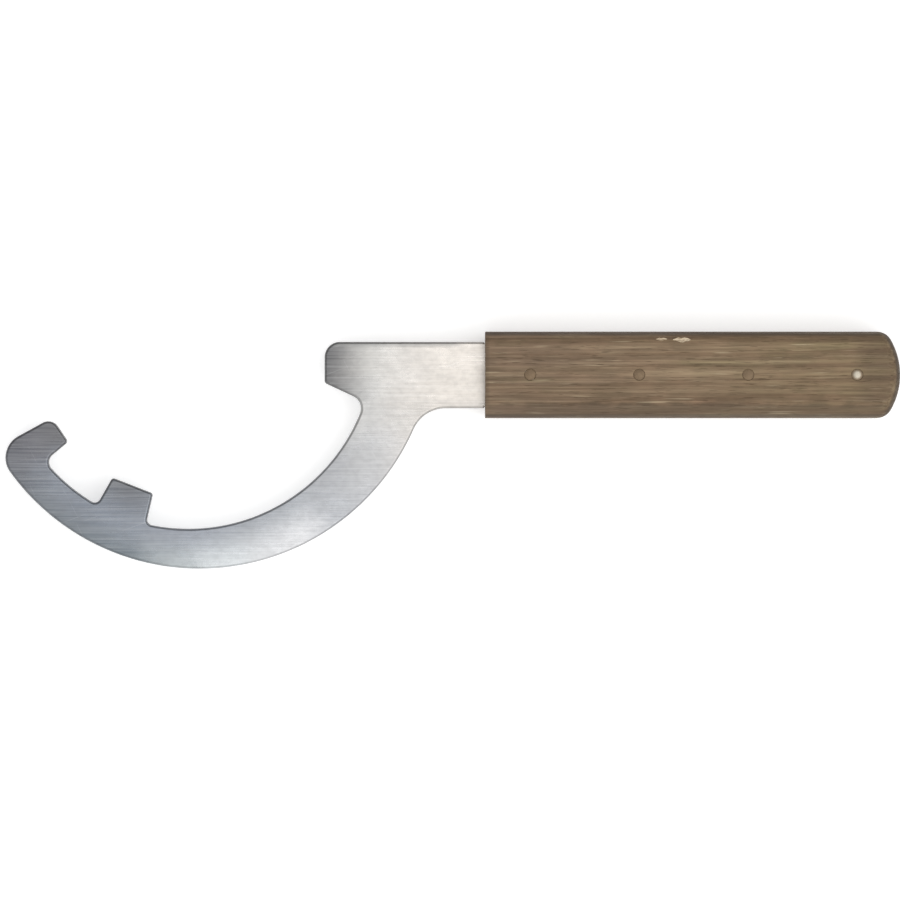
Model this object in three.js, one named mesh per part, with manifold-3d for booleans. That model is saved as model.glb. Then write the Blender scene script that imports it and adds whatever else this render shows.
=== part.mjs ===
// Hook spanner for large slotted and lugged collars: one flat steel hook with a riveted wooden
// handle. It lies flat: +X runs towards the butt, +Y towards the straight top edge of the neck and
// +Z up, out of the plate. Everything is drawn about the centre of the jaw's arc, in millimetres,
// and the finished tool is then stood on the bottom centre of its box.

import * as THREE from 'three';
import { mergeVertices } from 'three/addons/utils/BufferGeometryUtils.js';
import Module from 'manifold-3d';

// Hook. Angles run anticlockwise from +X, in degrees, and radii are from the jaw's centre.
const PLATE_THICK = 5;
const JAW_R = 58.2;
const BACK_R = 73.3;
const BACK_CENTRE = new THREE.Vector2(3.6, 2.6);
const NECK_TOP_Y = 0.4;
const NECK_HEIGHT = 20.8;
const NECK_ROOT_ROUND = 11;
const SHOULDER_ROUND = 0.8;

// Nose: the short tooth at the end of the neck, pointing into the jaw.
const NOSE_TIP = new THREE.Vector2(42.8, -12.5);
const NOSE_ROOT_DEG = -18.3;
const NOSE_TOP_ROUND = 4.8;
const NOSE_TIP_ROUND = 1.2;
const NOSE_ROOT_ROUND = 4.2;

// Lug: the square tooth that stands on the floor of the jaw.
const LUG_NEAR_DEG = 256.8;
const LUG_FAR_DEG = 240.6;
const LUG_END_R = 47.9;
const LUG_NEAR_ROOT_ROUND = 1.8;
const LUG_CORNER_ROUND = 1;
const LUG_FAR_ROOT_ROUND = 2;

// Claw: the turned-in end of the hook.
const CLAW_FACE_DEG = 219.4;
const CLAW_BACK_DEG = 208.7;
const CLAW_END_R = 48.5;
const CLAW_ROOT_ROUND = 3;
const CLAW_TIP_ROUND = 1.2;
const CLAW_TOP_ROUND = 3.5;
const CLAW_HEEL_ROUND = 7.7;

// Tang: the narrow end of the plate, let into the handle.
const TANG_HEIGHT = 14;
const TANG_LENGTH = 124;
const TANG_ROOT_ROUND = 0.5;
const TANG_END_ROUND = 3;

// Handle: two wooden scales, front face square, long edges and butt rounded.
const HANDLE_FRONT_X = 93.1;
const HANDLE_LENGTH = 129.7;
const HANDLE_HEIGHT = 27;
const HANDLE_THICK = 22;
const HANDLE_EDGE_ROUND = 4.2;
const BUTT_CORNER_ROUND = 5;
const BUTT_DOME_R = 22;

// Cross pins, on the centreline of the handle.
const PIN_R = 1.75;
const PIN_COUNT = 4;
const PIN_FROM_FRONT = 14;
const PIN_PITCH = 34;

// Clearances, and how closely a round outline is followed.
const FIT_GAP = 0.3;
const PIN_GAP = 0.15;
const CHORD_ERROR = 0.02;
const EDGE_STEPS = 5;
const PIN_SIDES = 20;
const NEWTON_STEPS = 12;
const SPARE = 10;

const NECK_BOTTOM_Y = NECK_TOP_Y - NECK_HEIGHT;
const HANDLE_MID_Y = NECK_TOP_Y - NECK_HEIGHT / 2;
const HANDLE_BUTT_X = HANDLE_FRONT_X + HANDLE_LENGTH;
const SHOULDER_X = HANDLE_FRONT_X - FIT_GAP;

const wasm = await Module();
wasm.setup();

// ---- outlines ---------------------------------------------------------------------------------

// A point at a radius and an angle from the jaw's centre.
function polar(radius, degrees) {
  const angle = THREE.MathUtils.degToRad(degrees);
  return new THREE.Vector2(Math.cos(angle), Math.sin(angle)).multiplyScalar(radius);
}

// How far a point lies to the left of a side, and the direction in which that distance grows.
function leftOf(side, point) {
  if (side.centre) {
    const turn = side.clockwise ? 1 : -1;
    const outward = point.clone().sub(side.centre);
    const gap = turn * (outward.length() - side.radius);
    return { gap, grow: outward.normalize().multiplyScalar(turn) };
  }
  const along = side.to.clone().sub(side.from).normalize();
  const grow = new THREE.Vector2(-along.y, along.x);
  return { gap: point.clone().sub(side.from).dot(grow), grow };
}

// Centre of the round that touches both sides of a corner, found by Newton's method.
function roundCentre(corner, before, after) {
  const centre = corner.at.clone();
  for (let step = 0; step < NEWTON_STEPS; step += 1) {
    const a = leftOf(before, centre);
    const b = leftOf(after, centre);
    const missA = corner.round - a.gap;
    const missB = corner.round - b.gap;
    const det = a.grow.cross(b.grow);
    centre.x += (missA * b.grow.y - missB * a.grow.y) / det;
    centre.y += (missB * a.grow.x - missA * b.grow.x) / det;
  }
  return centre;
}

// Points along an arc, close enough together to keep CHORD_ERROR.
function arcPoints(centre, from, to, clockwise) {
  const radius = from.distanceTo(centre);
  const start = from.clone().sub(centre).angle();
  const end = to.clone().sub(centre).angle();
  const turn = clockwise ? -1 : 1;
  const sweep = THREE.MathUtils.euclideanModulo(turn * (end - start), 2 * Math.PI);
  const stepMax = 2 * Math.acos(1 - CHORD_ERROR / radius);
  const count = Math.max(1, Math.ceil(sweep / stepMax));
  const points = [];
  for (let i = 0; i <= count; i += 1) {
    const angle = start + (turn * sweep * i) / count;
    points.push(new THREE.Vector2(
      centre.x + radius * Math.cos(angle),
      centre.y + radius * Math.sin(angle),
    ));
  }
  return points;
}

// An anticlockwise outline from its sharp corners. round is positive on an outer corner and
// negative on an inner one. arc, if given, is the round side that leads to the next corner.
function roundedShape(corners) {
  const count = corners.length;
  const sides = corners.map((corner, i) => (
    corner.arc ?? { from: corner.at, to: corners[(i + 1) % count].at }
  ));
  const rounds = corners.map((corner, i) => {
    const before = sides[(i + count - 1) % count];
    const centre = roundCentre(corner, before, sides[i]);
    const enter = centre.clone().addScaledVector(leftOf(before, centre).grow, -corner.round);
    const leave = centre.clone().addScaledVector(leftOf(sides[i], centre).grow, -corner.round);
    return { centre, enter, leave };
  });
  const points = [];
  corners.forEach((corner, i) => {
    const { centre, enter, leave } = rounds[i];
    if (corner.round === 0) {
      points.push(corner.at);
    } else {
      points.push(...arcPoints(centre, enter, leave, corner.round < 0));
    }
    if (corner.arc) {
      const next = rounds[(i + 1) % count].enter;
      points.push(...arcPoints(corner.arc.centre, leave, next, corner.arc.clockwise).slice(1, -1));
    }
  });
  return new THREE.Shape(points);
}

// Where a ray from the jaw's centre meets the back arc.
function backAtAngle(degrees) {
  const ray = polar(1, degrees);
  const along = ray.dot(BACK_CENTRE);
  const reach = along + Math.sqrt(along ** 2 - BACK_CENTRE.lengthSq() + BACK_R ** 2);
  return ray.multiplyScalar(reach);
}

// Where the back arc crosses a level line, on its handle side.
function backAtHeight(y) {
  const drop = y - BACK_CENTRE.y;
  return new THREE.Vector2(BACK_CENTRE.x + Math.sqrt(BACK_R ** 2 - drop ** 2), y);
}

// The two end corners of a tooth whose end is square to its middle.
function toothEnd(endRadius, nearDegrees, farDegrees) {
  const half = THREE.MathUtils.degToRad((nearDegrees - farDegrees) / 2);
  const cornerRadius = endRadius / Math.cos(half);
  return [polar(cornerRadius, nearDegrees), polar(cornerRadius, farDegrees)];
}

function hookShape() {
  const jawArc = { centre: new THREE.Vector2(0, 0), radius: JAW_R, clockwise: true };
  const backArc = { centre: BACK_CENTRE, radius: BACK_R, clockwise: false };
  const [lugNear, lugFar] = toothEnd(LUG_END_R, LUG_NEAR_DEG, LUG_FAR_DEG);
  const [clawTip, clawTop] = toothEnd(CLAW_END_R, CLAW_FACE_DEG, CLAW_BACK_DEG);
  const tangEndX = HANDLE_FRONT_X + TANG_LENGTH;
  const tangTop = HANDLE_MID_Y + TANG_HEIGHT / 2;
  const tangBottom = HANDLE_MID_Y - TANG_HEIGHT / 2;
  return roundedShape([
    { at: new THREE.Vector2(SHOULDER_X, NECK_TOP_Y), round: SHOULDER_ROUND },
    { at: new THREE.Vector2(NOSE_TIP.x, NECK_TOP_Y), round: NOSE_TOP_ROUND },
    { at: NOSE_TIP, round: NOSE_TIP_ROUND },
    { at: polar(JAW_R, NOSE_ROOT_DEG), round: -NOSE_ROOT_ROUND, arc: jawArc },
    { at: polar(JAW_R, LUG_NEAR_DEG), round: -LUG_NEAR_ROOT_ROUND },
    { at: lugNear, round: LUG_CORNER_ROUND },
    { at: lugFar, round: LUG_CORNER_ROUND },
    { at: polar(JAW_R, LUG_FAR_DEG), round: -LUG_FAR_ROOT_ROUND, arc: jawArc },
    { at: polar(JAW_R, CLAW_FACE_DEG), round: -CLAW_ROOT_ROUND },
    { at: clawTip, round: CLAW_TIP_ROUND },
    { at: clawTop, round: CLAW_TOP_ROUND },
    { at: backAtAngle(CLAW_BACK_DEG), round: CLAW_HEEL_ROUND, arc: backArc },
    { at: backAtHeight(NECK_BOTTOM_Y), round: -NECK_ROOT_ROUND },
    { at: new THREE.Vector2(SHOULDER_X, NECK_BOTTOM_Y), round: SHOULDER_ROUND },
    { at: new THREE.Vector2(SHOULDER_X, tangBottom), round: -TANG_ROOT_ROUND },
    { at: new THREE.Vector2(tangEndX, tangBottom), round: TANG_END_ROUND },
    { at: new THREE.Vector2(tangEndX, tangTop), round: TANG_END_ROUND },
    { at: new THREE.Vector2(SHOULDER_X, tangTop), round: -TANG_ROOT_ROUND },
  ]);
}

// Plan of the whole handle, run on past its front so that the front can be sawn off square.
function handleShape() {
  const half = HANDLE_HEIGHT / 2;
  const dome = {
    centre: new THREE.Vector2(HANDLE_BUTT_X - BUTT_DOME_R, HANDLE_MID_Y),
    radius: BUTT_DOME_R,
    clockwise: false,
  };
  const cornerX = dome.centre.x + Math.sqrt(BUTT_DOME_R ** 2 - half ** 2);
  const frontX = HANDLE_FRONT_X - SPARE;
  return roundedShape([
    { at: new THREE.Vector2(frontX, HANDLE_MID_Y - half), round: 0 },
    { at: new THREE.Vector2(cornerX, HANDLE_MID_Y - half), round: BUTT_CORNER_ROUND, arc: dome },
    { at: new THREE.Vector2(cornerX, HANDLE_MID_Y + half), round: BUTT_CORNER_ROUND },
    { at: new THREE.Vector2(frontX, HANDLE_MID_Y + half), round: 0 },
  ]);
}

// ---- solids -----------------------------------------------------------------------------------

function solidOf(geometry) {
  const bare = geometry.clone();
  bare.deleteAttribute('normal');
  bare.deleteAttribute('uv');
  const merged = mergeVertices(bare);
  return new wasm.Manifold(new wasm.Mesh({
    numProp: 3,
    vertProperties: new Float32Array(merged.attributes.position.array),
    triVerts: new Uint32Array(merged.index.array),
  }));
}

function geometryOf(solid) {
  const mesh = solid.getMesh();
  const geometry = new THREE.BufferGeometry();
  geometry.setAttribute('position', new THREE.BufferAttribute(mesh.vertProperties, 3));
  geometry.setIndex(new THREE.BufferAttribute(mesh.triVerts, 1));
  geometry.computeVertexNormals();
  return geometry;
}

// A block between two corners.
function blockSolid(low, high) {
  const size = high.clone().sub(low);
  const geometry = new THREE.BoxGeometry(size.x, size.y, size.z);
  const middle = low.clone().add(high).multiplyScalar(0.5);
  return solidOf(geometry.translate(middle.x, middle.y, middle.z));
}

// Places of the pins along the handle.
function pinXs() {
  return Array.from({ length: PIN_COUNT }, (_, i) => HANDLE_FRONT_X + PIN_FROM_FRONT + i * PIN_PITCH);
}

// A round bar through the handle at x, standing along Z.
function crossBar(x, radius, length) {
  const bar = new THREE.CylinderGeometry(radius, radius, length, PIN_SIDES);
  return bar.rotateX(Math.PI / 2).translate(x, HANDLE_MID_Y, 0);
}

function drilled(solid) {
  return pinXs().reduce((left, x) => (
    left.subtract(solidOf(crossBar(x, PIN_R + PIN_GAP, HANDLE_THICK + SPARE)))
  ), solid);
}

function hookPlate() {
  const plate = new THREE.ExtrudeGeometry(hookShape(), { depth: PLATE_THICK, bevelEnabled: false });
  return geometryOf(drilled(solidOf(plate.translate(0, 0, -PLATE_THICK / 2))));
}

// The handle before it is split: rounded all round, then sawn square at the front.
function handleBlank() {
  const blank = new THREE.ExtrudeGeometry(handleShape(), {
    depth: HANDLE_THICK - 2 * HANDLE_EDGE_ROUND,
    bevelThickness: HANDLE_EDGE_ROUND,
    bevelSize: HANDLE_EDGE_ROUND,
    bevelOffset: -HANDLE_EDGE_ROUND,
    bevelSegments: EDGE_STEPS,
  });
  return solidOf(blank.translate(0, 0, HANDLE_EDGE_ROUND - HANDLE_THICK / 2));
}

// One scale: half of the blank, above the glue joint or below it, with its share of the tang's
// pocket milled out and the pin holes drilled.
function handleScale(upper) {
  const near = FIT_GAP / 2;
  const far = HANDLE_THICK / 2 + SPARE;
  const half = blockSolid(
    new THREE.Vector3(HANDLE_FRONT_X, HANDLE_MID_Y - HANDLE_HEIGHT, upper ? near : -far),
    new THREE.Vector3(HANDLE_BUTT_X + SPARE, HANDLE_MID_Y + HANDLE_HEIGHT, upper ? far : -near),
  );
  const pocketHalfHeight = TANG_HEIGHT / 2 + FIT_GAP;
  const pocketHalfDepth = PLATE_THICK / 2 + FIT_GAP;
  const pocket = blockSolid(
    new THREE.Vector3(HANDLE_FRONT_X - SPARE, HANDLE_MID_Y - pocketHalfHeight, -pocketHalfDepth),
    new THREE.Vector3(
      HANDLE_FRONT_X + TANG_LENGTH + FIT_GAP,
      HANDLE_MID_Y + pocketHalfHeight,
      pocketHalfDepth,
    ),
  );
  return geometryOf(drilled(handleBlank().intersect(half).subtract(pocket)));
}

// ---- the tool ---------------------------------------------------------------------------------

const brightSteel = { color: 0xc6c8cb, roughness: 0.32, metalness: 0.95 };
const brownWood = { color: 0x806e59, roughness: 0.78, metalness: 0 };
const pinSteel = { color: 0xb4ada0, roughness: 0.45, metalness: 0.9 };

function addPiece(group, name, geometry, finish) {
  const mesh = new THREE.Mesh(geometry, new THREE.MeshStandardMaterial(finish));
  mesh.name = name;
  group.add(mesh);
}

const spanner = new THREE.Group();
addPiece(spanner, 'hook_plate', hookPlate(), brightSteel);
addPiece(spanner, 'front_scale', handleScale(true), brownWood);
addPiece(spanner, 'back_scale', handleScale(false), brownWood);
pinXs().forEach((x, i) => {
  addPiece(spanner, `pin_${i + 1}`, crossBar(x, PIN_R, HANDLE_THICK), pinSteel);
});

const box = new THREE.Box3().setFromObject(spanner);
const middle = box.getCenter(new THREE.Vector3());
spanner.position.set(-middle.x, -middle.y, -box.min.z);

export default spanner;
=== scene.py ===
import math

import bmesh
import bpy
from mathutils import Matrix, Vector


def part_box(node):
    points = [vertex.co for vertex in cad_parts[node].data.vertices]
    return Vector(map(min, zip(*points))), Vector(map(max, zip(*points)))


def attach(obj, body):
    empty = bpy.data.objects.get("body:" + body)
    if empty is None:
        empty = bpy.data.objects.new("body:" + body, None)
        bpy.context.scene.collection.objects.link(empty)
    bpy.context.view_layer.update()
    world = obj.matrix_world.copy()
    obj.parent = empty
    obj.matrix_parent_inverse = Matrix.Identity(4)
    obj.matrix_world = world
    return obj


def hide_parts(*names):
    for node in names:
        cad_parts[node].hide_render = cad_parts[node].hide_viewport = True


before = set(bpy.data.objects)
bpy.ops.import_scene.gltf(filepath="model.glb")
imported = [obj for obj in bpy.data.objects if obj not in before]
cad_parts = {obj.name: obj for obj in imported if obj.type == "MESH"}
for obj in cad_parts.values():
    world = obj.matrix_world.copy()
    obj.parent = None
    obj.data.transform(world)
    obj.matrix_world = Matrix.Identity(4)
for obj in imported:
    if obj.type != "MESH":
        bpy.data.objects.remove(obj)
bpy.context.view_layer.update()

# ---- Hook plate ----------------------------------------------------------------------------------
# One flat piece of bright steel: jaw, claw, lug, nose and neck in front of the handle, and a narrower
# tang behind the shoulders. It is cut to outline, ground on both broad faces and its arrises are eased.
# Its colour is darker at the three working tips, and heat tint with painted shade darkens the bend.
MM = 0.001

# Places are from the centre of the jaw's arc, and angles run anticlockwise from +X, in degrees.
JAW_R = 58.2 * MM
BACK_R = 73.3 * MM
BACK_CENTRE = Vector((3.6, 2.6)) * MM
NECK_TOP_Y = 0.4 * MM
NECK_BOTTOM_Y = NECK_TOP_Y - 20.8 * MM
NECK_ROOT_ROUND = 11 * MM

NOSE_TIP = Vector((42.8, -12.5)) * MM
NOSE_ROOT_DEG = -18.3
NOSE_TOP_ROUND = 4.8 * MM
NOSE_TIP_ROUND = 1.2 * MM
NOSE_ROOT_ROUND = 4.2 * MM

LUG_NEAR_DEG = 256.8
LUG_FAR_DEG = 240.6
LUG_END_R = 47.9 * MM
LUG_NEAR_ROOT_ROUND = 1.8 * MM
LUG_CORNER_ROUND = 1 * MM
LUG_FAR_ROOT_ROUND = 2 * MM

CLAW_FACE_DEG = 219.4
CLAW_BACK_DEG = 208.7
CLAW_END_R = 48.5 * MM
CLAW_ROOT_ROUND = 3 * MM
CLAW_TIP_ROUND = 1.2 * MM
CLAW_TOP_ROUND = 3.5 * MM
CLAW_HEEL_ROUND = 7.7 * MM

SHOULDER_X = 93.0 * MM
SHOULDER_ROUND = 0.8 * MM
SHOULDER_SQUARE = 1.5 * MM
TANG_TOP_Y = -3.0 * MM
TANG_BOTTOM_Y = -17.0 * MM
TANG_END_X = 217.1 * MM
TANG_ROOT_ROUND = 0.5 * MM
TANG_END_ROUND = 3 * MM

ARRIS = 0.8 * MM
ARRIS_STEPS = 4
CHORD_ERROR = 0.004 * MM
NEWTON_STEPS = 12

plate_low, plate_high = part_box("hook_plate")
jaw_centre = Vector((plate_high[0] - TANG_END_X, plate_high[1] - NECK_TOP_Y))
plate_mid_z = (plate_low[2] + plate_high[2]) / 2


def polar(radius, degrees):
    """A point at a radius and an angle from the jaw's centre."""
    return Vector((math.cos(math.radians(degrees)), math.sin(math.radians(degrees)))) * radius


def left_of(side, point):
    """How far a point lies to the left of a side, and the direction in which that grows."""
    if "centre" in side:
        turn = 1 if side["clockwise"] else -1
        outward = point - side["centre"]
        return turn * (outward.length - side["radius"]), outward.normalized() * turn
    along = (side["end"] - side["start"]).normalized()
    grow = Vector((-along.y, along.x))
    return (point - side["start"]).dot(grow), grow


def round_centre(sharp, radius, before, after):
    """Centre of the round that touches both sides of a corner, by Newton's method."""
    centre = sharp.copy()
    for _ in range(NEWTON_STEPS):
        gap_a, grow_a = left_of(before, centre)
        gap_b, grow_b = left_of(after, centre)
        miss_a, miss_b = radius - gap_a, radius - gap_b
        det = grow_a.x * grow_b.y - grow_a.y * grow_b.x
        centre.x += (miss_a * grow_b.y - miss_b * grow_a.y) / det
        centre.y += (miss_b * grow_a.x - miss_a * grow_b.x) / det
    return centre


def arc_points(centre, start, end, clockwise):
    """Points along an arc, each with the normal that points away from the steel or wood."""
    radius = (start - centre).length
    first = math.atan2(*(start - centre).yx)
    last = math.atan2(*(end - centre).yx)
    turn = -1 if clockwise else 1
    sweep = (turn * (last - first)) % (2 * math.pi)
    count = max(1, math.ceil(sweep / (2 * math.acos(1 - CHORD_ERROR / radius))))
    points = []
    for i in range(count + 1):
        angle = first + turn * sweep * i / count
        spoke = Vector((math.cos(angle), math.sin(angle)))
        points.append((centre + spoke * radius, spoke * turn))
    return points


def rounded_outline(corners):
    """An anticlockwise outline as points with normals. Each corner is its sharp point, its radius,
    negative on an inner corner, and the round side that leaves it, or None for a straight one."""
    count = len(corners)
    sides = [
        arc or {"start": sharp, "end": corners[(i + 1) % count][0]}
        for i, (sharp, _, arc) in enumerate(corners)
    ]
    rounds = []
    for i, (sharp, radius, _) in enumerate(corners):
        centre = round_centre(sharp, radius, sides[i - 1], sides[i])
        enter = centre - left_of(sides[i - 1], centre)[1] * radius
        leave = centre - left_of(sides[i], centre)[1] * radius
        rounds.append((centre, enter, leave))
    points = []
    for i, (_, radius, arc) in enumerate(corners):
        centre, enter, leave = rounds[i]
        points += arc_points(centre, enter, leave, radius < 0)
        if arc:
            next_enter = rounds[(i + 1) % count][1]
            points += arc_points(arc["centre"], leave, next_enter, arc["clockwise"])[1:-1]
    return points


def tooth_end(end_radius, near_degrees, far_degrees):
    """The two end corners of a tooth whose end is square to its middle."""
    corner_radius = end_radius / math.cos(math.radians(near_degrees - far_degrees) / 2)
    return polar(corner_radius, near_degrees), polar(corner_radius, far_degrees)


def hook_outline():
    """The plate's outline, from the top of the shoulders round the hook and the tang."""
    jaw_arc = {"centre": Vector((0, 0)), "radius": JAW_R, "clockwise": True}
    back_arc = {"centre": BACK_CENTRE, "radius": BACK_R, "clockwise": False}
    lug_near, lug_far = tooth_end(LUG_END_R, LUG_NEAR_DEG, LUG_FAR_DEG)
    claw_tip, claw_top = tooth_end(CLAW_END_R, CLAW_FACE_DEG, CLAW_BACK_DEG)
    ray = polar(1, CLAW_BACK_DEG)
    reach = ray.dot(BACK_CENTRE)
    reach += math.sqrt(reach ** 2 - BACK_CENTRE.length_squared + BACK_R ** 2)
    neck_root_x = BACK_CENTRE.x + math.sqrt(BACK_R ** 2 - (NECK_BOTTOM_Y - BACK_CENTRE.y) ** 2)
    return rounded_outline([
        (Vector((SHOULDER_X, NECK_TOP_Y)), SHOULDER_ROUND, None),
        (Vector((NOSE_TIP.x, NECK_TOP_Y)), NOSE_TOP_ROUND, None),
        (NOSE_TIP, NOSE_TIP_ROUND, None),
        (polar(JAW_R, NOSE_ROOT_DEG), -NOSE_ROOT_ROUND, jaw_arc),
        (polar(JAW_R, LUG_NEAR_DEG), -LUG_NEAR_ROOT_ROUND, None),
        (lug_near, LUG_CORNER_ROUND, None),
        (lug_far, LUG_CORNER_ROUND, None),
        (polar(JAW_R, LUG_FAR_DEG), -LUG_FAR_ROOT_ROUND, jaw_arc),
        (polar(JAW_R, CLAW_FACE_DEG), -CLAW_ROOT_ROUND, None),
        (claw_tip, CLAW_TIP_ROUND, None),
        (claw_top, CLAW_TOP_ROUND, None),
        (ray * reach, CLAW_HEEL_ROUND, back_arc),
        (Vector((neck_root_x, NECK_BOTTOM_Y)), -NECK_ROOT_ROUND, None),
        (Vector((SHOULDER_X, NECK_BOTTOM_Y)), SHOULDER_ROUND, None),
        (Vector((SHOULDER_X, TANG_BOTTOM_Y)), -TANG_ROOT_ROUND, None),
        (Vector((TANG_END_X, TANG_BOTTOM_Y)), TANG_END_ROUND, None),
        (Vector((TANG_END_X, TANG_TOP_Y)), TANG_END_ROUND, None),
        (Vector((SHOULDER_X, TANG_TOP_Y)), -TANG_ROOT_ROUND, None),
    ])


def stack_rings(bm, rings):
    """Joins closed rings of points, lowest first, with walls, and closes the first and the last."""
    loops = [[bm.verts.new(point) for point in ring] for ring in rings]
    for low, high in zip(loops, loops[1:]):
        for i in range(len(low)):
            j = (i + 1) % len(low)
            bm.faces.new((low[i], low[j], high[j], high[i])).smooth = True
    bm.faces.new(reversed(loops[0])).smooth = True
    bm.faces.new(loops[-1]).smooth = True


def finish_mesh(name, bm):
    """Makes the built mesh an object in the scene."""
    mesh = bpy.data.meshes.new(name)
    bm.to_mesh(mesh)
    bm.free()
    piece = bpy.data.objects.new(name, mesh)
    bpy.context.scene.collection.objects.link(piece)
    return piece


def eased_plate(name, outline):
    """The flat plate with its outline's arrises eased to a quarter round on both faces, apart from
    the shoulders, which stay square to meet the wood."""
    outline = [
        (point, Vector((0, normal.y)) if abs(point.x - SHOULDER_X) < SHOULDER_SQUARE else normal)
        for point, normal in outline
    ]
    steps = [math.pi / 2 * i / ARRIS_STEPS for i in range(ARRIS_STEPS + 1)]
    profile = [(ARRIS * (1 - math.sin(a)), plate_low[2] + ARRIS * (1 - math.cos(a))) for a in steps]
    profile += [(inset, 2 * plate_mid_z - z) for inset, z in reversed(profile)]
    bm = bmesh.new()
    stack_rings(bm, [
        [(*(jaw_centre + point - normal * inset), z) for point, normal in outline]
        for inset, z in profile
    ])
    return finish_mesh(name, bm)


def settle(piece):
    """Turns a piece with modifiers into the plain mesh that they make."""
    depsgraph = bpy.context.evaluated_depsgraph_get()
    made = bpy.data.meshes.new_from_object(piece.evaluated_get(depsgraph), depsgraph=depsgraph)
    made.name = piece.name
    piece.modifiers.clear()
    piece.data = made


def cut_away(piece, *cutters):
    """Cuts the cutters out of a piece, evens its shading and leaves it a plain mesh."""
    for cutter in cutters:
        cut = piece.modifiers.new("cut", "BOOLEAN")
        cut.object = cutter
        cut.solver = "EXACT"
        cut.material_mode = "TRANSFER" if cutter.data.materials else "INDEX"
    even = piece.modifiers.new("even_shading", "WEIGHTED_NORMAL")
    even.keep_sharp = True
    settle(piece)


# The cross pins go through the tang and both scales, so one set of drills serves all three.
PIN_R = 1.75 * MM
PIN_COUNT = 4
PIN_PITCH = 34 * MM
PIN_FROM_FRONT = 14 * MM
PIN_SIDES = 40
TANG_HOLE_GAP = 0.1 * MM
wood_low, wood_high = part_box("back_scale")[0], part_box("front_scale")[1]
wood_half_thick = (wood_high[2] - wood_low[2]) / 2
wood_half_height = (wood_high[1] - wood_low[1]) / 2
wood_mid_y = (wood_low[1] + wood_high[1]) / 2
first_pin = Vector((wood_low[0] + PIN_FROM_FRONT, wood_mid_y, plate_mid_z))


def drills(radius, flare):
    """Cylinders where the pins go, flared a little where they leave the wood."""
    profile = [(radius + 2 * flare, -wood_half_thick - flare), (radius, -wood_half_thick + flare)]
    profile += [(r, -z) for r, z in reversed(profile)]
    turns = [360 * k / PIN_SIDES for k in range(PIN_SIDES)]
    bm = bmesh.new()
    for i in range(PIN_COUNT):
        middle = first_pin + Vector((i * PIN_PITCH, 0, 0))
        stack_rings(bm, [[middle + Vector((*polar(r, turn), z)) for turn in turns] for r, z in profile])
    return finish_mesh("drills", bm)


def add_node(tree, kind, inputs=None, **settings):
    """A node with its settings, and its inputs set or linked by name or number."""
    made = tree.nodes.new(kind)
    for key, value in settings.items():
        setattr(made, key, value)
    for key, value in (inputs or {}).items():
        if isinstance(value, bpy.types.NodeSocket):
            tree.links.new(value, made.inputs[key])
        else:
            made.inputs[key].default_value = value
    return made


def maths(tree, operation, a, b=0.0, clamp=False):
    """One sum on two numbers or sockets."""
    return add_node(tree, "ShaderNodeMath", {0: a, 1: b}, operation=operation, use_clamp=clamp).outputs[0]


def times(tree, a, b):
    return maths(tree, "MULTIPLY", a, b)


def plus(tree, a, b):
    return maths(tree, "ADD", a, b)


def distance(tree, x, y):
    """The length of the vector x, y."""
    return maths(tree, "SQRT", plus(tree, times(tree, x, x), times(tree, y, y)))


def axes_of(tree, vector):
    """The X, Y and Z of a vector."""
    return add_node(tree, "ShaderNodeSeparateXYZ", {0: vector}).outputs


def facing_axes(tree):
    """The X, Y and Z of the surface's own direction."""
    return axes_of(tree, add_node(tree, "ShaderNodeNewGeometry").outputs["Normal"])


def between(tree, value, low, high, out_low=0.0, out_high=1.0):
    """value taken smoothly from low..high to out_low..out_high."""
    inputs = {"Value": value, "From Min": low, "From Max": high, "To Min": out_low, "To Max": out_high}
    return add_node(tree, "ShaderNodeMapRange", inputs, interpolation_type="SMOOTHSTEP").outputs[0]


def blend_colour(tree, share, first, second):
    """Two colours mixed by a share."""
    return add_node(tree, "ShaderNodeMix", {0: share, 6: first, 7: second}, data_type="RGBA").outputs[2]


def cell_noise(tree, place, cell, detail=2.0, rough=0.5, turn=0.0):
    """Noise with cells of the given lengths in mm on each axis, turned about the upright."""
    moved = add_node(tree, "ShaderNodeMapping", {
        "Vector": place, "Rotation": (0, 0, turn), "Scale": [length * MM for length in cell],
    }, vector_type="TEXTURE")
    inputs = {"Vector": moved.outputs[0], "Scale": 1.0, "Detail": detail, "Roughness": rough}
    return add_node(tree, "ShaderNodeTexNoise", inputs).outputs["Fac"]


def colour_ramp(tree, share, stops):
    """A colour that runs smoothly through stops of share and colour."""
    made = add_node(tree, "ShaderNodeValToRGB", {"Fac": share})
    ramp = made.color_ramp
    ramp.interpolation = "EASE"
    while len(ramp.elements) < len(stops):
        ramp.elements.new(0.5)
    for element, (position, colour) in zip(ramp.elements, stops):
        element.position = position
        element.color = (*colour, 1)
    return made.outputs["Color"]


def start_material(name):
    """An empty Principled material, its node tree, its shader and its place on the piece."""
    material = bpy.data.materials.new(name)
    material.use_nodes = True
    tree = material.node_tree
    shader = tree.nodes["Principled BSDF"]
    place = add_node(tree, "ShaderNodeTexCoord").outputs["Object"]
    return material, tree, shader, place


def roughen(tree, shader, height, strength, depth):
    """Lets a height field of a given depth show as fine relief."""
    bump = add_node(tree, "ShaderNodeBump", {"Height": height, "Strength": strength, "Distance": depth})
    tree.links.new(bump.outputs[0], shader.inputs["Normal"])
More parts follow.
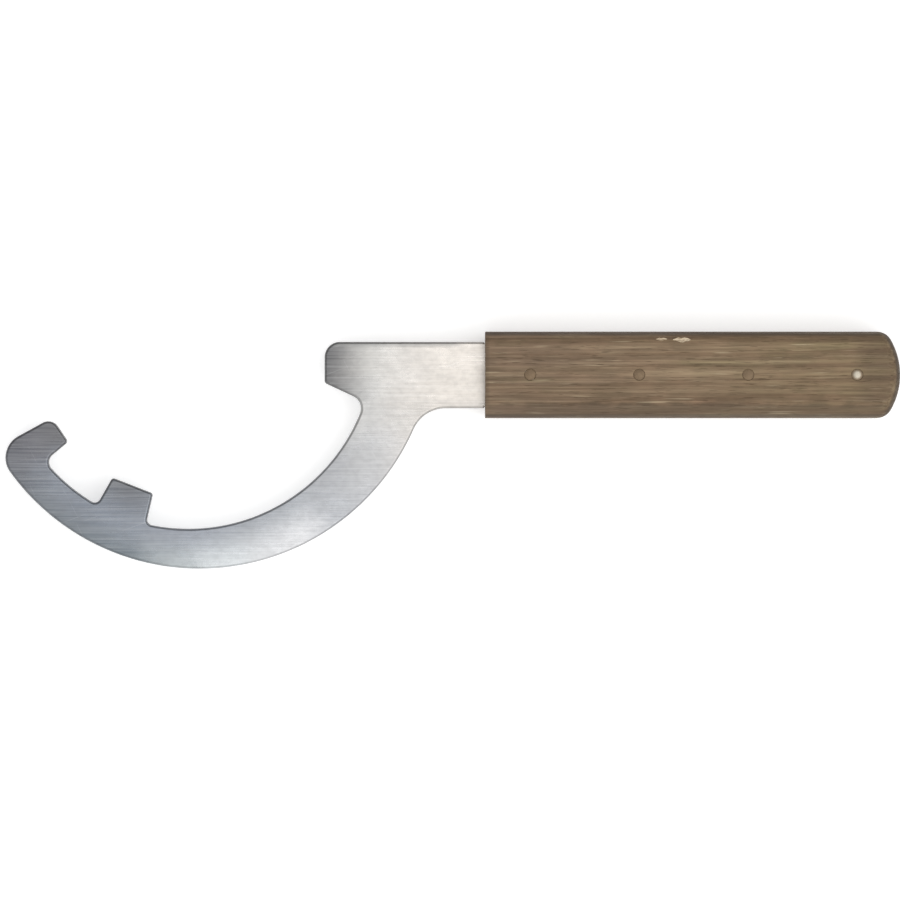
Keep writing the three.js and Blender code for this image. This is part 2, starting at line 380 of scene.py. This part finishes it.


# Heat tint and painted shade colour the plate along its bend, darker towards the claw: stops of degrees
# round the jaw and colour, for the side next to the jaw and for the back of the bend, which is rubbed bright
# and painted lighter as sheen where it lies on the bench.
TINT_FROM_DEG = -160
JAW_TINTS_AND_SHADE = [
    (-152, (0.088, 0.088, 0.102)),
    (-146, (0.118, 0.120, 0.136)),
    (-135, (0.182, 0.200, 0.232)),
    (-112, (0.174, 0.194, 0.228)),
    (-90, (0.232, 0.248, 0.281)),
    (-62, (0.266, 0.280, 0.301)),
    (-40, (0.290, 0.295, 0.308)),
    (-22, (0.410, 0.406, 0.398)),
    (-8, (0.430, 0.420, 0.402)),
]
BACK_TINTS_SHADE_AND_SHEEN = [
    (-152, (0.095, 0.098, 0.110)),
    (-146, (0.124, 0.130, 0.146)),
    (-130, (0.136, 0.152, 0.168)),
    (-108, (0.134, 0.157, 0.175)),
    (-96, (0.292, 0.320, 0.332)),
    (-84, (0.492, 0.518, 0.530)),
    (-62, (0.518, 0.520, 0.530)),
    (-50, (0.325, 0.334, 0.352)),
    (-33, (0.372, 0.373, 0.379)),
    (-12, (0.447, 0.431, 0.413)),
]
NECK_STEEL = (0.545, 0.508, 0.466, 1)
EDGE_DARK_STEEL = (0.20, 0.20, 0.195, 1)
DARK_STEEL = (0.100, 0.100, 0.103, 1)
DARK_SKIN = (0.16, 0.16, 0.165, 1)
PALE_SKIN = (0.34, 0.335, 0.33, 1)
LINE_SHINE = (1, 1, 1, 1)
SCRATCH_SHINE = (0.9, 0.9, 0.9, 1)


def tinted_and_shaded_steel(tree, x, y, radius, clouds):
    """The steel's colour before marks: heat tint and painted shade round the bend, darker towards the claw,
    and pale steel along the neck.
    """
    angle = plus(tree, maths(tree, "ARCTAN2", y, x), between(tree, clouds, 0.3, 0.7, -0.05, 0.05))
    turned = between(tree, angle, math.radians(TINT_FROM_DEG), 0)
    turned.node.interpolation_type = "LINEAR"
    jaw_tint_and_shade, back_tint_and_shade = (
        colour_ramp(tree, turned, [(1 - degrees / TINT_FROM_DEG, colour) for degrees, colour in tone_stops])
        for tone_stops in (JAW_TINTS_AND_SHADE, BACK_TINTS_SHADE_AND_SHEEN)
    )
    bend = blend_colour(tree, between(tree, radius, JAW_R, BACK_R - 2 * MM), jaw_tint_and_shade, back_tint_and_shade)
    return blend_colour(tree, between(tree, x, 56 * MM, 84 * MM), bend, NECK_STEEL)


def ground_steel():
    """Steel ground along the neck, heat-tinted with painted shade round the bend, with darker tips, painted
    shade at the neck's upper edge, and raw cut edges.
    """
    material, tree, shader, place = start_material("ground_steel")
    centre = (*jaw_centre, plate_mid_z)
    from_jaw = add_node(tree, "ShaderNodeVectorMath", {0: place, 1: centre}, operation="SUBTRACT")
    x, y, _ = axes_of(tree, from_jaw.outputs[0])
    radius = distance(tree, x, y)
    clouds = cell_noise(tree, place, (14, 14, 14), 5, 0.6)
    mottle = cell_noise(tree, place, (2.2, 1.6, 2), 4, 0.65)
    lines = cell_noise(tree, place, (30, 0.5, 0.5), 3, 0.6)
    fine_lines = cell_noise(tree, place, (12, 0.16, 0.16), 2, 0.5)
    rising = cell_noise(tree, place, (24, 0.4, 4), 1, 0.4, 0.35)
    falling = cell_noise(tree, place, (15, 0.3, 4), 1, 0.4, -1.1)
    scratches = maths(tree, "MAXIMUM", between(tree, rising, 0.73, 0.77), between(tree, falling, 0.74, 0.78))
    # Heat tint and painted shade: the colour darkens round the bend towards the claw.
    steel = tinted_and_shaded_steel(tree, x, y, radius, clouds)

    # The tips are coloured darker: the claw, the lug and the nose.
    at_tooth = times(tree, between(tree, radius, JAW_R + 2 * MM, LUG_END_R), between(tree, x, 0, -20 * MM))
    ragged_x = plus(tree, x, between(tree, clouds, 0.3, 0.7, -2 * MM, 2 * MM))
    at_nose = times(tree, between(tree, ragged_x, 60 * MM, 41 * MM),
                    between(tree, y, -24 * MM, -15 * MM))
    steel = blend_colour(tree, times(tree, at_tooth, 0.7), steel, DARK_STEEL)
    steel = blend_colour(tree, at_nose, steel, DARK_STEEL)

    # Darker bands are painted along the neck's edges: the upper one, in front of the handle, is painted
    # shade of the edge, and the lower one lies behind the bend.
    upper_edge_shade = times(tree, between(tree, y, NECK_TOP_Y - 2.2 * MM, NECK_TOP_Y - 0.9 * MM),
                       between(tree, x, 87 * MM, 82 * MM))
    upper_edge_shade = times(tree, upper_edge_shade, between(tree, clouds, 0.3, 0.6, 0.42, 0.64))
    lower_edge = times(tree, between(tree, y, NECK_BOTTOM_Y + 4 * MM, NECK_BOTTOM_Y + 0.5 * MM),
                       between(tree, x, 62 * MM, 74 * MM, 0.0, 0.2))
    steel = blend_colour(tree, maths(tree, "MAXIMUM", upper_edge_shade, lower_edge), steel, EDGE_DARK_STEEL)

    # Fine marks: mottle, the belt's lines and stray scratches.
    for share, colour in (
        (between(tree, mottle, 0.35, 0.7, 0.0, 0.16), DARK_STEEL),
        (between(tree, lines, 0.3, 0.75, 0.0, 0.10), LINE_SHINE),
        (times(tree, scratches, 0.10), SCRATCH_SHINE),
    ):
        steel = blend_colour(tree, share, steel, colour)

    # Raw cut edges keep a grey skin with upright drag lines, mostly rubbed off at the back of the bend.
    at_wall = between(tree, maths(tree, "ABSOLUTE", facing_axes(tree)["Z"]), 0.80, 0.35)
    drag = cell_noise(tree, place, (0.35, 0.35, 9), 3, 0.55)
    skin = blend_colour(tree, between(tree, drag, 0.3, 0.7), DARK_SKIN, PALE_SKIN)
    left_on = between(tree, y, -62 * MM, -69 * MM, 0.7, 0.1)
    steel = blend_colour(tree, times(tree, at_wall, left_on), steel, skin)
    tree.links.new(steel, shader.inputs["Base Color"])
    shader.inputs["Metallic"].default_value = 1.0

    rough = plus(tree, between(tree, clouds, 0.3, 0.75, 0.25, 0.36), times(tree, at_nose, 0.1))
    rough = plus(tree, rough, between(tree, fine_lines, 0.3, 0.7, -0.03, 0.05))
    rough = plus(tree, rough, times(tree, at_wall, 0.15))
    tree.links.new(rough, shader.inputs["Roughness"])

    relief = plus(tree, times(tree, lines, 0.6), times(tree, fine_lines, 0.4))
    relief = maths(tree, "SUBTRACT", relief, times(tree, scratches, 0.8))
    wall_relief = times(tree, drag, 2.0)
    height = add_node(tree, "ShaderNodeMix", {0: at_wall, 2: relief, 3: wall_relief}).outputs[0]
    roughen(tree, shader, height, 0.3, 0.03 * MM)
    return material


hook = eased_plate("ground_hook", hook_outline())
tang_drills = drills(PIN_R + TANG_HOLE_GAP, 0.0)
cut_away(hook, tang_drills)
hook.data.materials.append(ground_steel())
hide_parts("hook_plate")
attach(hook, "root")

# ---- Wooden scales -------------------------------------------------------------------------------
# Two halves of fine-grained brown hardwood, each with half of the tang's pocket milled into it. They
# are glued round the tang, pinned, and then shaped together: sawn square at the front, rounded at the
# long edges and at the butt, and oiled.
LONG_EDGE_ROUND = 4.2 * MM
LONG_EDGE_STEPS = 8
BUTT_CORNER_ROUND = 5 * MM
BUTT_DOME_R = 22 * MM
JOINT_HALF = 0.06 * MM
FRONT_ARRIS = 0.45 * MM
FRONT_ARRIS_STEPS = 3
SHARP_FROM = math.radians(60)
POCKET_GAP = 0.15 * MM
POCKET_PAST_FRONT = 5 * MM
WOOD_HOLE_GAP = 0.05 * MM
WOOD_HOLE_FLARE = 0.15 * MM
SAW_SPARE = 10 * MM
SPARE_ROUND = 1 * MM


def butt_outline():
    """The handle's plan behind its front face, as points with normals from one side to the other.
    It is drawn longer than the handle, and what lies in front of the saw cut is left out."""
    front_x, butt_x = wood_low[0] - jaw_centre.x, wood_high[0] - jaw_centre.x
    mid_y = wood_mid_y - jaw_centre.y
    low_y, high_y = mid_y - wood_half_height, mid_y + wood_half_height
    dome = {"centre": Vector((butt_x - BUTT_DOME_R, mid_y)), "radius": BUTT_DOME_R, "clockwise": False}
    corner_x = dome["centre"].x + math.sqrt(BUTT_DOME_R ** 2 - wood_half_height ** 2)
    points = rounded_outline([
        (Vector((front_x - SAW_SPARE, low_y)), SPARE_ROUND, None),
        (Vector((corner_x, low_y)), BUTT_CORNER_ROUND, dome),
        (Vector((corner_x, high_y)), BUTT_CORNER_ROUND, None),
        (Vector((front_x - SAW_SPARE, high_y)), SPARE_ROUND, None),
    ])
    return [(jaw_centre + point, normal) for point, normal in points if point.x > front_x]


def handle_slab(name, profile, front_x):
    """A slab with the handle's plan from front_x to the butt. The profile goes up through it, as how
    far the side lies in from the handle's widest, and how high that is."""
    butt = butt_outline()
    rings = []
    for back, z in profile:
        edge_y = wood_half_height - back
        ring = [(front_x, wood_mid_y - edge_y, z)]
        ring += [(*(point - normal * back), z) for point, normal in butt]
        ring.append((front_x, wood_mid_y + edge_y, z))
        rings.append(ring)
    bm = bmesh.new()
    stack_rings(bm, rings)
    bm.normal_update()
    ease_share = bm.edges.layers.float.new("bevel_weight_edge")
    for edge in bm.edges:
        if edge.calc_face_angle() > SHARP_FROM:
            edge.smooth = not all(abs(v.co.z - plate_mid_z) < 2 * JOINT_HALF for v in edge.verts)
            edge[ease_share] = 1.0 if edge.smooth else 0.0
    return finish_mesh(name, bm)


def scale_blank(name, side):
    """Half of the handle, above the joint (side 1) or below it (side -1), before it is milled. Its
    edges at the joint are kept sharp, and its front edges are marked to be eased."""
    steps = [math.pi / 2 * i / LONG_EDGE_STEPS for i in range(LONG_EDGE_STEPS + 1)]
    profile = [(0.0, JOINT_HALF)]
    profile += [
        (LONG_EDGE_ROUND * (1 - math.cos(a)), wood_half_thick - LONG_EDGE_ROUND * (1 - math.sin(a)))
        for a in steps
    ]
    profile = [(back, plate_mid_z + side * height) for back, height in profile[::side]]
    return handle_slab(name, profile, wood_low[0])


def tang_pocket():
    """The block that is milled out for the tang."""
    low = Vector((wood_low[0] - POCKET_PAST_FRONT, jaw_centre.y + TANG_BOTTOM_Y, plate_low[2]))
    high = Vector((jaw_centre.x + TANG_END_X, jaw_centre.y + TANG_TOP_Y, plate_high[2]))
    spare = Vector((POCKET_GAP, POCKET_GAP, POCKET_GAP))
    bm = bmesh.new()
    bmesh.ops.create_cube(bm, size=1.0)
    bmesh.ops.scale(bm, vec=high - low + 2 * spare, verts=bm.verts)
    bmesh.ops.translate(bm, vec=(low + high) / 2, verts=bm.verts)
    return finish_mesh("tang_pocket", bm)


# Two splinters have lifted from the rounded edge and left pale scars, whose paleness also stands as a
# painted highlight on the upper edge. Each is its place behind the front, in from the side and down from the
# top, and then its half sizes.
SCAR_TILT = math.radians(-22)
SCAR_RAG = 0.22
SCARS = [
    (Vector((61.3, -2.6, -0.32)) * MM, Vector((2.9, 0.80, 0.50)) * MM),
    (Vector((55.0, -2.4, -0.38)) * MM, Vector((1.9, 0.45, 0.42)) * MM),
]


def splinter_scars():
    """The long ragged hollows that the splinters left, pointed along the grain, as one cutter."""
    scar_edge = Vector((wood_low[0], wood_high[1], wood_high[2]))
    bm = bmesh.new()
    for place, half_size in SCARS:
        scoop = bmesh.ops.create_uvsphere(bm, u_segments=28, v_segments=28, radius=1.0)["verts"]
        bmesh.ops.rotate(bm, matrix=Matrix.Rotation(math.pi / 2, 3, "Y"), verts=scoop)
        for vert in scoop:
            rag = 1 + SCAR_RAG * math.sin(7 * vert.co.x + 5 * vert.co.y)
            taper = math.sqrt(max(0, 1 - vert.co.x ** 2)) * rag
            vert.co.y *= taper
            vert.co.z *= taper
        bmesh.ops.scale(bm, vec=half_size, verts=scoop)
        bmesh.ops.rotate(bm, matrix=Matrix.Rotation(SCAR_TILT, 3, "X"), verts=scoop)
        bmesh.ops.translate(bm, vec=scar_edge + place, verts=scoop)
    return finish_mesh("scars", bm)


TORN_DARK = (0.36, 0.26, 0.16, 1)
TORN_PALE_AND_HIGHLIGHT = (0.84, 0.72, 0.54, 1)


def bare_wood():
    """Fresh pale wood, torn along its fibres; its paleness also stands as a painted highlight on the
    handle's upper edge.
    """
    material, tree, shader, place = start_material("bare_wood")
    fibres = cell_noise(tree, place, (4, 0.22, 0.22), 3, 0.6)
    pale = blend_colour(tree, between(tree, fibres, 0.3, 0.7), TORN_DARK, TORN_PALE_AND_HIGHLIGHT)
    tree.links.new(pale, shader.inputs["Base Color"])
    tree.links.new(between(tree, fibres, 0.3, 0.7, 0.85, 0.65), shader.inputs["Roughness"])
    roughen(tree, shader, fibres, 0.8, 0.12 * MM)
    return material


PITH_Y = -0.030
PITH_Z = -0.045
RING_WIDTH = 3.1 * MM
TRUNK_SWAY = 4.5 * MM
FRONT_BROWN = (0.345, 0.238, 0.158, 1)
BUTT_BROWN = (0.345, 0.255, 0.132, 1)
RED_BROWN = (0.385, 0.205, 0.130, 1)
OLIVE_BROWN = (0.300, 0.262, 0.125, 1)
DEEP_BROWN = (0.185, 0.128, 0.070, 1)
BAND_DARK = (0.150, 0.098, 0.052, 1)
BAND_PALE = (0.520, 0.400, 0.250, 1)
LATE_BROWN = (0.150, 0.088, 0.043, 1)
LINE_DARK = (0.130, 0.088, 0.050, 1)
LINE_PALE = (0.48, 0.36, 0.22, 1)
STREAK_DARK = (0.120, 0.080, 0.048, 1)
STREAK_PALE = (0.50, 0.385, 0.235, 1)
BLOTCH_TAN = (0.40, 0.25, 0.155, 1)
FLECK_PALE = (0.62, 0.50, 0.33, 1)
FIBRE_DARK = (0.08, 0.055, 0.034, 1)
PORE_DARK = (0.05, 0.033, 0.02, 1)
END_BROWN = (0.200, 0.135, 0.080, 1)
END_LATE = (0.100, 0.064, 0.038, 1)
END_PALE = (0.250, 0.170, 0.100, 1)
END_PORE = (0.040, 0.026, 0.016, 1)
GRIME_AND_SHADE = (0.042, 0.031, 0.022, 1)


def grime_and_edge_shade(tree, x, y, blotches):
    """How much darkening there is: painted shade along the rounded long edges, heavier along the lower side,
    at the front and round the butt's rim, with grime near the thumb and towards the butt. It is thinner on
    the upright sides."""
    from_middle = maths(tree, "ABSOLUTE", maths(tree, "SUBTRACT", y, wood_mid_y))
    at_edge = between(tree, from_middle, wood_half_height - 2.0 * MM, wood_half_height - 0.8 * MM, 0.0, 0.74)
    ragged_y = plus(tree, y, between(tree, blotches, 0.3, 0.7, -0.8 * MM, 0.8 * MM))
    at_lower_side = between(tree, ragged_y, wood_low[1] + 5.6 * MM, wood_low[1] + 3.6 * MM, 0.0, 0.42)

    dome_x = maths(tree, "SUBTRACT", x, wood_high[0] - BUTT_DOME_R)
    from_dome = distance(tree, dome_x, maths(tree, "SUBTRACT", y, wood_mid_y))
    at_rim = between(tree, from_dome, BUTT_DOME_R - 2.2 * MM, BUTT_DOME_R - 0.8 * MM, 0.0, 0.78)
    at_rim = times(tree, at_rim, between(tree, dome_x, 0, 8 * MM))
    at_front = between(tree, x, wood_low[0] + 2.2 * MM, wood_low[0], 0.0, 0.45)
    at_thumb = between(tree, x, wood_low[0] + 34 * MM, wood_low[0] + 14 * MM, 0.0, 0.12)
    at_butt = between(tree, x, wood_high[0] - 17 * MM, wood_high[0] - 9 * MM, 0.0, 0.28)

    darkening = at_edge
    for more in (at_lower_side, at_rim, at_front, at_thumb, at_butt):
        darkening = maths(tree, "MAXIMUM", darkening, more)
    darkening = times(tree, darkening, between(tree, blotches, 0.2, 0.6, 0.75, 1.0))
    level = maths(tree, "ABSOLUTE", facing_axes(tree)["Z"])
    return times(tree, darkening, between(tree, level, 0.0, 0.35, 0.4, 1.0))


def oiled_wood():
    """Brown hardwood sawn lengthwise: growth rings about a pith below the handle, bands, streaks,
    fine dark pores, end grain where it is sawn across, and grime from hands with painted shade along the
    rounded edges."""
    material, tree, shader, place = start_material("oiled_wood")
    x, y, z = axes_of(tree, place)

    # Rings are cylinders round the pith, bent by the slow sway of the trunk.
    sway = cell_noise(tree, place, (90, 30, 30), 2, 0.5)
    radius = distance(tree, maths(tree, "SUBTRACT", y, PITH_Y), maths(tree, "SUBTRACT", z, PITH_Z))
    radius = plus(tree, radius, times(tree, sway, TRUNK_SWAY))
    ring = maths(tree, "FRACT", maths(tree, "DIVIDE", radius, RING_WIDTH))
    late_wood = times(tree, between(tree, ring, 0.25, 0.9), between(tree, ring, 1.0, 0.93))

    broad = cell_noise(tree, place, (60, 5, 5), 3, 0.55)
    bands = cell_noise(tree, place, (260, 3.4, 3.4), 1, 0.5)
    drift = cell_noise(tree, place, (42, 6, 6), 3, 0.6)
    long_lines = cell_noise(tree, place, (110, 0.9, 0.9), 2, 0.55)
    streaks = cell_noise(tree, place, (30, 1.0, 1.0), 4, 0.62)
    fibres = cell_noise(tree, place, (11, 0.28, 0.28), 3, 0.6)
    flecks = between(tree, cell_noise(tree, place, (16, 0.9, 0.9), 1, 0.5), 0.66, 0.80)
    pores = between(tree, cell_noise(tree, place, (5, 0.3, 0.3), 1, 0.5), 0.62, 0.72)
    blotches = cell_noise(tree, place, (9, 5, 5), 3, 0.6)

    wood = blend_colour(tree, between(tree, x, wood_low[0], wood_high[0]), FRONT_BROWN, BUTT_BROWN)
    for share, colour in (
        (between(tree, drift, 0.56, 0.74, 0.0, 0.55), RED_BROWN),
        (between(tree, drift, 0.46, 0.30, 0.0, 0.50), OLIVE_BROWN),
        (between(tree, broad, 0.3, 0.7, 0.0, 0.55), DEEP_BROWN),
        (between(tree, bands, 0.50, 0.68, 0.0, 0.50), BAND_DARK),
        (between(tree, bands, 0.46, 0.30, 0.0, 0.30), BAND_PALE),
        (times(tree, late_wood, 0.55), LATE_BROWN),
        (between(tree, long_lines, 0.32, 0.60, 0.45, 0.0), LINE_DARK),
        (between(tree, long_lines, 0.55, 0.75, 0.0, 0.30), LINE_PALE),
        (between(tree, streaks, 0.30, 0.62, 0.55, 0.0), STREAK_DARK),
        (between(tree, streaks, 0.52, 0.80, 0.0, 0.55), STREAK_PALE),
        (between(tree, blotches, 0.35, 0.7, 0.0, 0.22), BLOTCH_TAN),
        (times(tree, flecks, 0.45), FLECK_PALE),
        (between(tree, fibres, 0.35, 0.75, 0.22, 0.0), FIBRE_DARK),
        (times(tree, pores, 0.45), PORE_DARK),
    ):
        wood = blend_colour(tree, share, wood, colour)

    # On the sawn ends the fibres are cut across: darker, with the rings as arcs and the pores as dots.
    at_end = between(tree, maths(tree, "ABSOLUTE", facing_axes(tree)["X"]), 0.55, 0.95, 0.0, 0.85)
    dots = between(tree, cell_noise(tree, place, (3, 0.24, 0.24), 1, 0.5), 0.60, 0.70)
    end_grain = blend_colour(tree, times(tree, late_wood, 0.8), END_BROWN, END_LATE)
    end_grain = blend_colour(tree, between(tree, broad, 0.35, 0.65, 0.0, 0.4), end_grain, END_PALE)
    end_grain = blend_colour(tree, times(tree, dots, 0.7), end_grain, END_PORE)
    wood = blend_colour(tree, at_end, wood, end_grain)
    # Grime and painted shade darken the rounded long edges, the front and the butt's rim.
    wood = blend_colour(tree, grime_and_edge_shade(tree, x, y, blotches), wood, GRIME_AND_SHADE)
    tree.links.new(wood, shader.inputs["Base Color"])

    rough = between(tree, streaks, 0.3, 0.75, 0.70, 0.50)
    rough = maths(tree, "ADD", rough, times(tree, pores, 0.2), clamp=True)
    tree.links.new(rough, shader.inputs["Roughness"])
    shader.inputs["Specular IOR Level"].default_value = 0.3

    relief = plus(tree, times(tree, streaks, 0.5), times(tree, fibres, 0.35))
    roughen(tree, shader, maths(tree, "SUBTRACT", relief, pores), 0.45, 0.10 * MM)
    return material


wood_finish = oiled_wood()
scars = splinter_scars()
scars.data.materials.append(bare_wood())
wood_drills = drills(PIN_R + WOOD_HOLE_GAP, WOOD_HOLE_FLARE)
pocket = tang_pocket()
for name, side, node in (("upper_scale", 1, "front_scale"), ("lower_scale", -1, "back_scale")):
    scale = scale_blank(name, side)
    scale.data.materials.append(wood_finish)
    ease = scale.modifiers.new("ease", "BEVEL")
    ease.limit_method = "WEIGHT"
    ease.width = FRONT_ARRIS
    ease.segments = FRONT_ARRIS_STEPS
    cut_away(scale, pocket, wood_drills, *([scars] if side > 0 else []))
    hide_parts(node)
    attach(scale, "root")

# ---- Glue line -----------------------------------------------------------------------------------
# A dark film of glue fills the joint between the two scales, right round the tang. It was wiped off
# flush, and shows as a fine line along both sides of the handle and round the butt.
GLUE_HALF = 0.05 * MM
GLUE_BACK = 0.03 * MM
GLUE_DARK = (0.030, 0.019, 0.012, 1)
GLUE_PALE = (0.085, 0.055, 0.032, 1)


def dark_glue():
    """Set glue, darkened by age, with a few dull patches."""
    material, tree, shader, place = start_material("dark_glue")
    patches = cell_noise(tree, place, (2.5, 1.2, 1.2), 3, 0.6)
    tree.links.new(blend_colour(tree, patches, GLUE_DARK, GLUE_PALE), shader.inputs["Base Color"])
    tree.links.new(between(tree, patches, 0.3, 0.7, 0.38, 0.6), shader.inputs["Roughness"])
    roughen(tree, shader, patches, 0.3, 0.03 * MM)
    return material


glue_profile = [(GLUE_BACK, plate_mid_z - GLUE_HALF), (GLUE_BACK, plate_mid_z + GLUE_HALF)]
glue_line = handle_slab("glue_line", glue_profile, wood_low[0] + GLUE_BACK)
cut_away(glue_line, pocket, wood_drills)
glue_line.data.materials.clear()
glue_line.data.materials.append(dark_glue())
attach(glue_line, "root")

for cutter in (tang_drills, wood_drills, pocket, scars):
    bpy.data.objects.remove(cutter)

# ---- Cross pins ----------------------------------------------------------------------------------
# Plain steel pins driven through the scales and the tang, peened over at both ends and filed flush.
# The ones under the palm have gone brown; the last, near the butt, has a painted highlight in its middle.
PIN_CROWN = 0.25 * MM
AGED_DARK = (0.165, 0.118, 0.075, 1)
AGED_PALE = (0.300, 0.215, 0.137, 1)
GLINT_DARK = (0.30, 0.27, 0.22, 1)
GLINT_PALE = (0.50, 0.455, 0.37, 1)


def pin_row_tree(finish):
    """One peened pin, repeated along the handle."""
    tree = bpy.data.node_groups.new("pin_row", "GeometryNodeTree")
    face = tree.interface
    face.new_socket("Geometry", in_out="OUTPUT", socket_type="NodeSocketGeometry")
    for name in ("Pin radius", "Pin length", "Crown", "Pitch"):
        face.new_socket(name, in_out="INPUT", socket_type="NodeSocketFloat")
    for name in ("Count", "Sides"):
        face.new_socket(name, in_out="INPUT", socket_type="NodeSocketInt")
    face.new_socket("First pin", in_out="INPUT", socket_type="NodeSocketVector")
    given = tree.nodes.new("NodeGroupInput").outputs

    # The peened ends fall away from their middles by the crown.
    shank = add_node(tree, "GeometryNodeMeshCylinder", {
        "Vertices": given["Sides"], "Side Segments": 1, "Fill Segments": 6,
        "Radius": given["Pin radius"], "Depth": given["Pin length"],
    }, fill_type="NGON")
    x, y, z = axes_of(tree, add_node(tree, "GeometryNodeInputPosition").outputs[0])
    share = maths(tree, "POWER", maths(tree, "DIVIDE", distance(tree, x, y), given["Pin radius"]), 2.0)
    inwards = times(tree, maths(tree, "SIGN", z), -1.0)
    drop = times(tree, times(tree, share, given["Crown"]), inwards)
    shift = add_node(tree, "ShaderNodeCombineXYZ", {"Z": drop}).outputs[0]
    peened = add_node(tree, "GeometryNodeSetPosition", {"Geometry": shank.outputs["Mesh"], "Offset": shift})

    step = add_node(tree, "ShaderNodeCombineXYZ", {"X": given["Pitch"]}).outputs[0]
    row = add_node(tree, "GeometryNodeMeshLine", {
        "Count": given["Count"], "Start Location": given["First pin"], "Offset": step,
    }, mode="OFFSET")
    pins = add_node(tree, "GeometryNodeInstanceOnPoints", {
        "Points": row.outputs[0], "Instance": peened.outputs[0],
    })
    real = add_node(tree, "GeometryNodeRealizeInstances", {"Geometry": pins.outputs[0]})
    done = add_node(tree, "GeometryNodeSetMaterial", {"Geometry": real.outputs[0], "Material": finish})
    result = tree.nodes.new("NodeGroupOutput")
    tree.links.new(done.outputs[0], result.inputs["Geometry"])
    return tree


def filed_pin_steel():
    """Filed pin ends: brown with age under the palm, with a painted highlight in the middle of the last one.
    """
    material, tree, shader, place = start_material("filed_pin_steel")
    file_marks = cell_noise(tree, place, (3, 0.2, 0.2), 2, 0.6, 0.4)
    spots = cell_noise(tree, place, (1.1, 1.1, 1.1), 3, 0.6)
    aged = blend_colour(tree, spots, AGED_DARK, AGED_PALE)
    glint_colour = blend_colour(tree, file_marks, GLINT_DARK, GLINT_PALE)

    # A painted highlight: the middle of the last pin's top end is coloured bright and made smoother.
    last_pin_x = first_pin.x + (PIN_COUNT - 1) * PIN_PITCH
    last_pin_top = (last_pin_x, first_pin.y, wood_high[2])
    away = add_node(tree, "ShaderNodeVectorMath", {0: place, 1: last_pin_top}, operation="DISTANCE")
    glint_share = times(tree, between(tree, axes_of(tree, place)["X"], last_pin_x - PIN_PITCH / 2,
                                 last_pin_x - PIN_PITCH / 4),
                   between(tree, away.outputs["Value"], 1.6 * MM, 0.7 * MM, 0.10, 1.0))
    tree.links.new(blend_colour(tree, glint_share, aged, glint_colour), shader.inputs["Base Color"])
    tree.links.new(between(tree, glint_share, 0, 1, 0.62, 0.34), shader.inputs["Roughness"])
    shader.inputs["Metallic"].default_value = 0.85
    roughen(tree, shader, file_marks, 0.4, 0.04 * MM)
    return material


pins = finish_mesh("cross_pins", bmesh.new())
pin_tree = pin_row_tree(filed_pin_steel())
row_modifier = pins.modifiers.new("pin_row", "NODES")
row_modifier.node_group = pin_tree
pin_sizes = {
    "Pin radius": PIN_R, "Pin length": 2 * wood_half_thick, "Crown": PIN_CROWN, "Pitch": PIN_PITCH,
    "Count": PIN_COUNT, "Sides": PIN_SIDES, "First pin": first_pin,
}
for item in pin_tree.interface.items_tree:
    if item.in_out == "INPUT":
        row_modifier[item.identifier] = pin_sizes[item.name]
settle(pins)
pins.data.materials.pop(index=0)
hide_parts(*(f"pin_{i + 1}" for i in range(PIN_COUNT)))
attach(pins, "root")

# ---- Studio --------------------------------------------------------------------------------------
# A pale floor that glows a little, as a light table does, a soft even room, and one large soft lamp
# overhead, past the handle. The camera looks straight down on the flat of the tool.
FLOOR_REACH = 4
FLOOR_GAP = 0.05 * MM
FLOOR_PAINT = (0.93, 0.93, 0.93, 1)
FLOOR_GLOW = 0.4
WHITE = (1, 1, 1, 1)
LAMP_PLACE = (0.9, -0.1, 2.3)
LAMP_SIZE = 2.3
LAMP_BRIGHTNESS = 1.3
ROOM_DARK_SIDE = 0.32
ROOM_LIGHT_SIDE = 1.0
ROOM_SEEN = 0.9
FRAME_WIDTH = 281.9 * MM
FRAME_MIDDLE = Vector((-0.7, 0.1)) * MM
LENS = 250.0
SENSOR = 36.0

floor_mesh = bpy.data.meshes.new("floor")
corners = [(x * FLOOR_REACH, y * FLOOR_REACH, -FLOOR_GAP) for x, y in ((-1, -1), (1, -1), (1, 1), (-1, 1))]
floor_mesh.from_pydata(corners, [], [(0, 1, 2, 3)])
floor = bpy.data.objects.new("floor", floor_mesh)
bpy.context.scene.collection.objects.link(floor)
floor_paint, _, floor_shader, _ = start_material("pale_floor")
floor_shader.inputs["Base Color"].default_value = FLOOR_PAINT
floor_shader.inputs["Roughness"].default_value = 0.85
floor_shader.inputs["Emission Color"].default_value = WHITE
floor_shader.inputs["Emission Strength"].default_value = FLOOR_GLOW
floor_mesh.materials.append(floor_paint)

lamp = bpy.data.lights.new("top_lamp", "AREA")
lamp.size = LAMP_SIZE
lamp.energy = LAMP_SIZE ** 2 * math.pi * LAMP_BRIGHTNESS
top_lamp = bpy.data.objects.new("top_lamp", lamp)
top_lamp.location = LAMP_PLACE
bpy.context.scene.collection.objects.link(top_lamp)

# The room is brighter on the near side, and an even pale grey where it is seen past the floor.
world = bpy.data.worlds.new("soft_room")
world.use_nodes = True
bpy.context.scene.world = world
room = world.node_tree
across = axes_of(room, add_node(room, "ShaderNodeTexCoord").outputs["Generated"])["Y"]
room_light = between(room, across, 0.9, -0.6, ROOM_DARK_SIDE, ROOM_LIGHT_SIDE)
is_seen = add_node(room, "ShaderNodeLightPath").outputs["Is Camera Ray"]
strength = add_node(room, "ShaderNodeMix", {0: is_seen, 2: room_light, 3: ROOM_SEEN}).outputs[0]
room.links.new(strength, room.nodes["Background"].inputs["Strength"])
room.nodes["Background"].inputs["Color"].default_value = WHITE

camera = bpy.data.cameras.new("camera")
camera.lens = LENS
camera.sensor_width = SENSOR
camera_object = bpy.data.objects.new("camera", camera)
camera_object.location = (*FRAME_MIDDLE, plate_high[2] + FRAME_WIDTH * LENS / SENSOR)
bpy.context.scene.collection.objects.link(camera_object)
bpy.context.scene.camera = camera_object
bpy.context.scene.view_settings.view_transform = "Standard"
